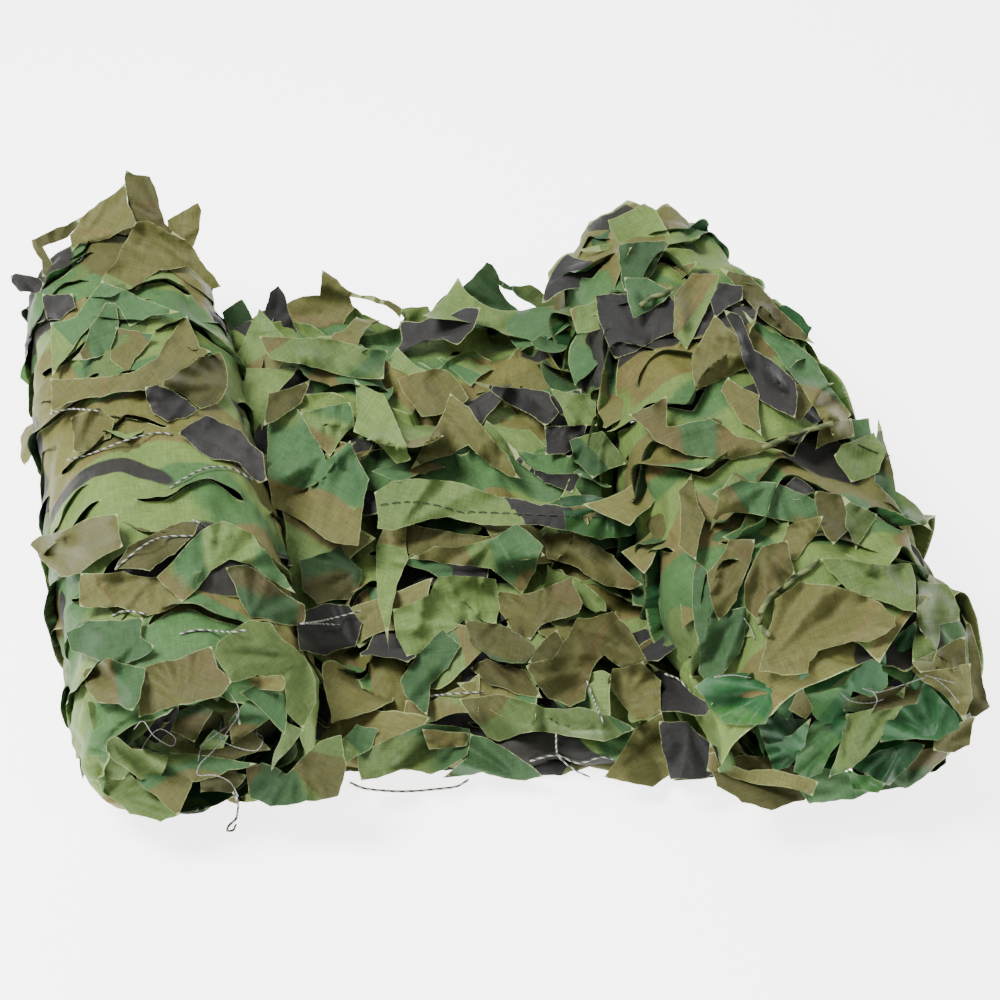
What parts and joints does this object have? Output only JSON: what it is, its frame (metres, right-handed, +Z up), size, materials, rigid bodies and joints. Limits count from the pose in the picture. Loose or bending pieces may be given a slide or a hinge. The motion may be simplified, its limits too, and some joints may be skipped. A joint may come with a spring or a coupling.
{
  "type": "camouflage net",
  "caption": "Leaf-cut camouflage net in woodland colours, folded in three and rolled up from both ends, with an open stretch of cloth between the rolls.",
  "frame": {"origin": "middle of the bundle's footprint, on the floor", "axes": "+X from the smaller left roll across to the larger right roll, +Y from the open front ends of the rolls to their back ends, +Z up"},
  "size_m": [0.6852, 0.5588, 0.1427],
  "materials": {
    "cloth": "thin coated polyester cloth, woodland print, heat-cut edges",
    "twine": "thin twisted two-ply twine"
  },
  "bodies": {
    "root": {"left_roll": "cloth", "right_roll": "cloth", "open_stretch": "cloth", "tie_loop": "twine", "edge_twine": "twine"}
  },
  "joints": []
}
